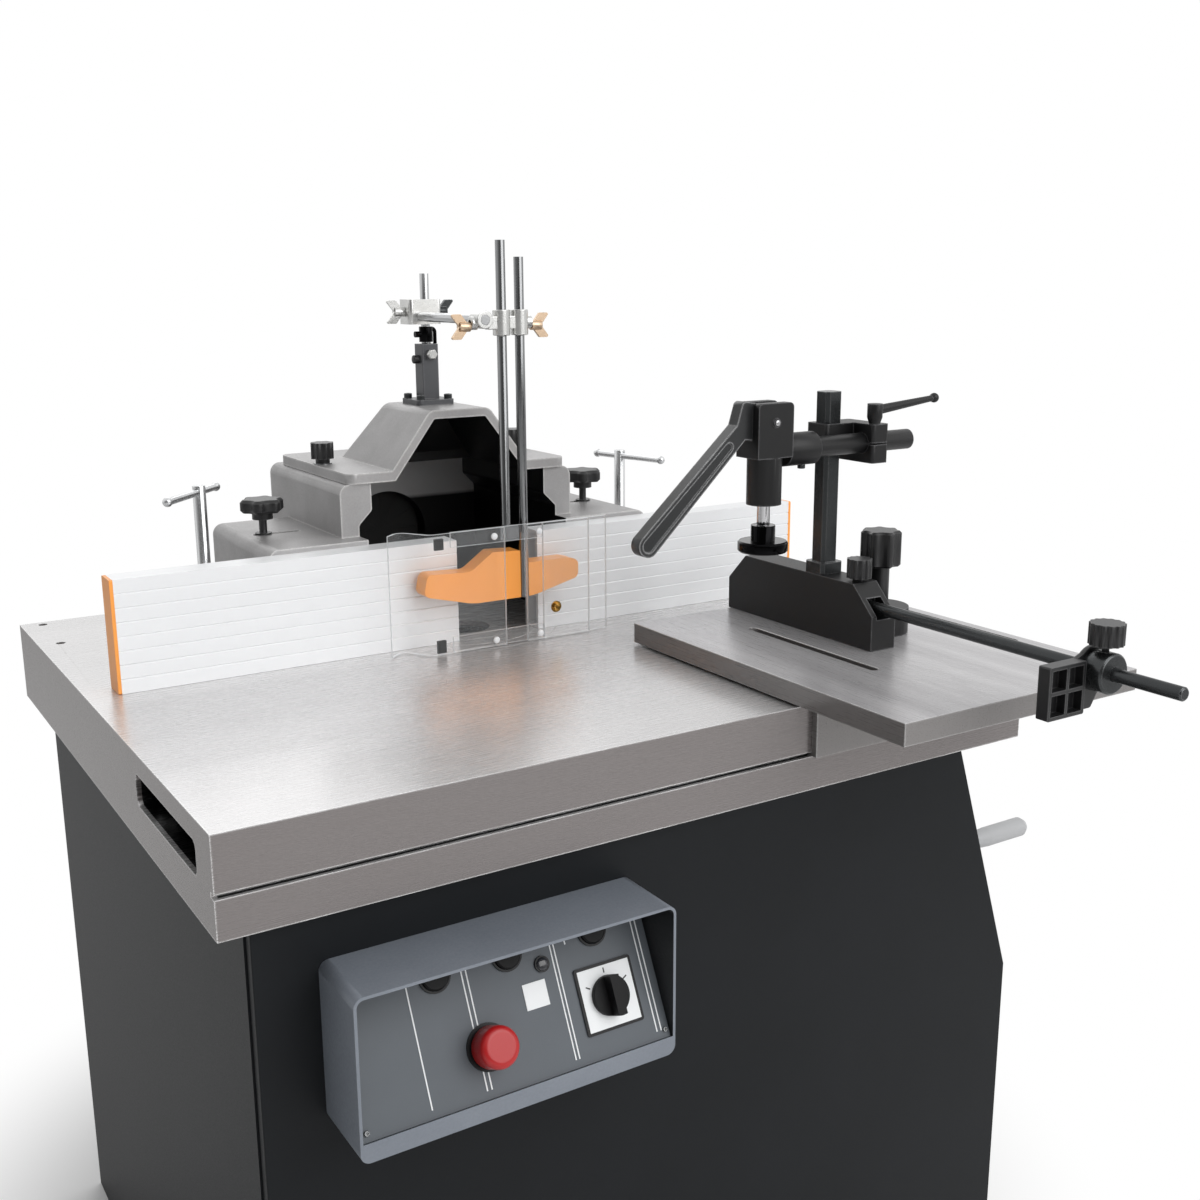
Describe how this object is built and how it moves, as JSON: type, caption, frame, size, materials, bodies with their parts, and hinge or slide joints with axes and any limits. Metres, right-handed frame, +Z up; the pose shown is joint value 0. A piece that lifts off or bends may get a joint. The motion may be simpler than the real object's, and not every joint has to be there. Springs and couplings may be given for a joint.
{
  "type": "spindle moulder",
  "caption": "Floor-standing spindle moulder with cast table, hooded split fence, clear guard, pressure shoe and a sliding plate with mitre fence and cam clamp.",
  "frame": {"origin": "on the floor under the spindle axis, at the centre of the four anchor holes", "axes": "+Z up along the spindle, +X along the fence to the right, +Y from the front to the back"},
  "size_m": [1.1382, 1.207, 1.3697],
  "materials": {
    "cabinet_paint": "textured powder coat",
    "housing_paint": "satin",
    "fascia_grey": "satin",
    "ground_iron": "ground",
    "hood_paint": "hammered satin",
    "fence_aluminium": "extruded, satin",
    "orange_plastic": "moulded",
    "clear_sheet": "clear sheet",
    "zinc_steel": "zinc plated",
    "zinc_casting": "cast",
    "brass_zinc": "yellow zinc",
    "black_plastic": "moulded",
    "black_steel": "black oxide",
    "steel": "turned",
    "grey_iron": "as cast",
    "motor_paint": "satin",
    "belt_rubber": "matt",
    "red_plastic": "moulded",
    "grip_grey": "moulded"
  },
  "bodies": {
    "frame": {"cabinet_shell": "cabinet_paint", "front_panel": "cabinet_paint", "control_housing": "housing_paint", "control_fascia": "fascia_grey", "table_casting": "ground_iron", "table_rings": "ground_iron", "spindle_guide": "grey_iron"},
    "button_left": {"button_left": "black_plastic"},
    "button_middle": {"button_middle": "black_plastic"},
    "button_right": {"button_right": "black_plastic"},
    "selector": {"selector_knob": "black_plastic"},
    "emergency_stop": {"emergency_stop": "red_plastic"},
    "lock_lever": {"lock_lever": "black_steel"},
    "quill": {"quill": "steel", "motor": "motor_paint", "drive_belt": "belt_rubber"},
    "spindle": {"spindle": "steel"},
    "rotor": {"motor_rotor": "steel"},
    "pinion": {"pinion_shaft": "steel"},
    "handwheel": {"handwheel": "grey_iron"},
    "grip": {"handwheel_grip": "grip_grey"},
    "clamp_bolt_left": {"clamp_bolt_left": "zinc_steel"},
    "clamp_bolt_right": {"clamp_bolt_right": "zinc_steel"},
    "hood": {"hood_base": "hood_paint", "hood_lid": "hood_paint", "pressure_post": "housing_paint", "post_rod": "zinc_steel"},
    "lid_knob_left": {"lid_knob_left": "black_plastic"},
    "lid_knob_right": {"lid_knob_right": "black_plastic"},
    "fence_left": {"fence_plate_left": "fence_aluminium", "end_cap_left": "orange_plastic"},
    "fence_right": {"fence_plate_right": "fence_aluminium", "end_cap_right": "orange_plastic"},
    "star_left": {"star_knob_left": "black_plastic"},
    "star_right": {"star_knob_right": "black_plastic"},
    "cross_clamp": {"cross_clamp": "zinc_casting"},
    "cross_wing_left": {"cross_wing_left": "zinc_casting"},
    "cross_wing_right": {"cross_wing_right": "black_steel"},
    "reach": {"cross_rod": "zinc_steel", "double_clamp": "zinc_casting"},
    "double_wing_left": {"double_wing_left": "brass_zinc"},
    "double_wing_right": {"double_wing_right": "brass_zinc"},
    "guard": {"guard_rod": "zinc_steel", "guard_sheet": "clear_sheet"},
    "shoe": {"shoe_rod": "zinc_steel", "pressure_shoe": "orange_plastic"},
    "plate": {"sliding_plate": "ground_iron"},
    "mitre": {"mitre_fence": "black_steel", "clamp_post": "black_steel"},
    "lobed_knob": {"lobed_knob": "black_plastic"},
    "set_knob": {"set_knob": "black_plastic"},
    "stop_rod": {"stop_rod": "black_steel"},
    "stop_collar": {"stop_collar": "black_steel"},
    "stop_knob": {"stop_knob": "black_plastic"},
    "flip_stop": {"flip_stop": "black_plastic"},
    "bracket": {"clamp_bracket": "black_steel"},
    "ratchet": {"ratchet_lever": "black_steel"},
    "clamp_head": {"clamp_head": "black_steel"},
    "cam_lever": {"cam_lever": "black_steel"},
    "plunger": {"plunger": "steel"}
  },
  "joints": [
    {"name": "press_left", "type": "slide", "parent": "frame", "child": "button_left", "axis": [0, 0.8949, -0.4462], "range_m": [0, 0.004], "stiffness_N_per_m": 400},
    {"name": "press_middle", "type": "slide", "parent": "frame", "child": "button_middle", "axis": [0, 0.8949, -0.4462], "range_m": [0, 0.004], "stiffness_N_per_m": 400},
    {"name": "press_right", "type": "slide", "parent": "frame", "child": "button_right", "axis": [0, 0.8949, -0.4462], "range_m": [0, 0.004], "stiffness_N_per_m": 400},
    {"name": "selector_turn", "type": "hinge", "parent": "frame", "child": "selector", "pos_m": [-0.128, -0.56107, 0.62761], "axis": [0, 0.8949, -0.4462], "range_deg": [-60, 60]},
    {"name": "emergency_press", "type": "slide", "parent": "frame", "child": "emergency_stop", "axis": [0, 0.8949, -0.4462], "range_m": [0, 0.004], "stiffness_N_per_m": 600},
    {"name": "lock_swing", "type": "hinge", "parent": "frame", "child": "lock_lever", "pos_m": [-0.33, -0.37, 0.83], "axis": [0, 0, 1], "range_deg": [0, 50]},
    {"name": "rise_fall", "type": "slide", "parent": "frame", "child": "quill", "axis": [0, 0, 1], "range_m": [0, 0.125]},
    {"name": "pinion_turn", "type": "hinge", "parent": "frame", "child": "pinion", "pos_m": [0.083, 0, 0.6405], "axis": [0, 1, 0], "range_deg": [-5, 323]},
    {"name": "handwheel_turn", "type": "hinge", "parent": "frame", "child": "handwheel", "pos_m": [0, -0.335, 0.586], "axis": [1, 0, 0], "range_deg": [-3203, 20]},
    {"name": "grip_spin", "type": "hinge", "parent": "handwheel", "child": "grip", "pos_m": [0.522, -0.42, 0.586], "axis": [1, 0, 0], "continuous": true},
    {"name": "spindle_spin", "type": "hinge", "parent": "quill", "child": "spindle", "pos_m": [0, 0, 0.73], "axis": [0, 0, 1], "continuous": true},
    {"name": "motor_spin", "type": "hinge", "parent": "quill", "child": "rotor", "pos_m": [0, 0.205, 0.44], "axis": [0, 0, 1], "continuous": true},
    {"name": "bolt_turn_left", "type": "hinge", "parent": "frame", "child": "clamp_bolt_left", "pos_m": [-0.313, 0.095, 0.87], "axis": [0, 0, 1], "range_deg": [0, 360]},
    {"name": "bolt_turn_right", "type": "hinge", "parent": "frame", "child": "clamp_bolt_right", "pos_m": [0.313, 0.095, 0.87], "axis": [0, 0, 1], "range_deg": [0, 360]},
    {"name": "hood_shift", "type": "slide", "parent": "frame", "child": "hood", "axis": [0, 1, 0], "range_m": [-0.015, 0.04]},
    {"name": "lid_knob_turn_left", "type": "hinge", "parent": "hood", "child": "lid_knob_left", "pos_m": [-0.144, 0.1082, 1.088], "axis": [0, 0, 1], "range_deg": [0, 360]},
    {"name": "lid_knob_turn_right", "type": "hinge", "parent": "hood", "child": "lid_knob_right", "pos_m": [0.144, 0.1082, 1.088], "axis": [0, 0, 1], "range_deg": [0, 360]},
    {"name": "fence_shift_left", "type": "slide", "parent": "hood", "child": "fence_left", "axis": [-1, 0, 0], "range_m": [-0.042, 0.008]},
    {"name": "fence_shift_right", "type": "slide", "parent": "hood", "child": "fence_right", "axis": [1, 0, 0], "range_m": [-0.042, 0.008]},
    {"name": "star_turn_left", "type": "hinge", "parent": "fence_left", "child": "star_left", "pos_m": [-0.239, 0.08, 1.008], "axis": [0, 0, 1], "range_deg": [0, 360]},
    {"name": "star_turn_right", "type": "hinge", "parent": "fence_right", "child": "star_right", "pos_m": [0.239, 0.08, 1.008], "axis": [0, 0, 1], "range_deg": [0, 360]},
    {"name": "cross_raise", "type": "slide", "parent": "hood", "child": "cross_clamp", "axis": [0, 0, 1], "range_m": [0, 0.02]},
    {"name": "cross_wing_turn_left", "type": "hinge", "parent": "cross_clamp", "child": "cross_wing_left", "pos_m": [-0.03, 0.085, 1.282], "axis": [1, 0, 0], "range_deg": [0, 360]},
    {"name": "cross_wing_turn_right", "type": "hinge", "parent": "cross_clamp", "child": "cross_wing_right", "pos_m": [0.016, 0.085, 1.282], "axis": [1, 0, 0], "range_deg": [0, 360]},
    {"name": "reach_shift", "type": "slide", "parent": "cross_clamp", "child": "reach", "axis": [0, 1, 0], "range_m": [-0.04, 0.004]},
    {"name": "double_wing_turn_left", "type": "hinge", "parent": "reach", "child": "double_wing_left", "pos_m": [0, -0.10167, 1.268], "axis": [1, 0, 0], "range_deg": [0, 360]},
    {"name": "double_wing_turn_right", "type": "hinge", "parent": "reach", "child": "double_wing_right", "pos_m": [0, -0.10167, 1.268], "axis": [1, 0, 0], "range_deg": [0, 360]},
    {"name": "guard_raise", "type": "slide", "parent": "reach", "child": "guard", "axis": [0, 0, 1], "range_m": [0, 0.06]},
    {"name": "shoe_raise", "type": "slide", "parent": "reach", "child": "shoe", "axis": [0, 0, 1], "range_m": [-0.04, 0.013]},
    {"name": "plate_travel", "type": "slide", "parent": "frame", "child": "plate", "axis": [1, 0, 0], "range_m": [-0.48, 0.12]},
    {"name": "mitre_swing", "type": "hinge", "parent": "plate", "child": "mitre", "pos_m": [0.371, -0.4, 0.898], "axis": [0, 0, 1], "range_deg": [-25, 25]},
    {"name": "lobed_knob_turn", "type": "hinge", "parent": "plate", "child": "lobed_knob", "pos_m": [0.371, -0.4, 0.898], "axis": [0, 0, 1], "range_deg": [0, 360]},
    {"name": "set_knob_turn", "type": "hinge", "parent": "mitre", "child": "set_knob", "pos_m": [0.3115, -0.428, 0.9732], "axis": [0, 0, 1], "range_deg": [0, 360]},
    {"name": "stop_rod_shift", "type": "slide", "parent": "mitre", "child": "stop_rod", "axis": [0, 1, 0], "range_m": [-0.07, 0.03]},
    {"name": "stop_collar_shift", "type": "slide", "parent": "stop_rod", "child": "stop_collar", "axis": [0, 1, 0], "range_m": [-0.035, 0.02]},
    {"name": "stop_knob_turn", "type": "hinge", "parent": "stop_collar", "child": "stop_knob", "pos_m": [0.3115, -0.7787, 0.9462], "axis": [0, 0, 1], "range_deg": [0, 360]},
    {"name": "flip_swing", "type": "hinge", "parent": "stop_collar", "child": "flip_stop", "pos_m": [0.3115, -0.775, 0.9462], "axis": [0, 1, 0], "range_deg": [-100, 0]},
    {"name": "bracket_raise", "type": "slide", "parent": "mitre", "child": "bracket", "axis": [0, 0, 1], "range_m": [-0.07, 0.025]},
    {"name": "ratchet_turn", "type": "hinge", "parent": "bracket", "child": "ratchet", "pos_m": [0.3415, -0.41205, 1.1322], "axis": [0, 0, 1], "range_deg": [-90, 90]},
    {"name": "arm_shift", "type": "slide", "parent": "bracket", "child": "clamp_head", "axis": [1, 0, 0], "range_m": [-0.04, 0.025]},
    {"name": "cam_swing", "type": "hinge", "parent": "clamp_head", "child": "cam_lever", "pos_m": [0.1895, -0.397, 1.1662], "axis": [0, 1, 0], "range_deg": [0, 95]},
    {"name": "plunger_lift", "type": "slide", "parent": "clamp_head", "child": "plunger", "axis": [0, 0, 1], "range_m": [0, 0.012]}
  ],
  "couplings": [
    {"joint": "pinion_turn", "follows": "rise_fall", "rad_per_m": 44.444},
    {"joint": "handwheel_turn", "follows": "rise_fall", "rad_per_m": -444.44},
    {"joint": "motor_spin", "follows": "spindle_spin", "ratio": 0.51613},
    {"joint": "plunger_lift", "follows": "cam_swing", "m_per_rad": 0.007093}
  ]
}
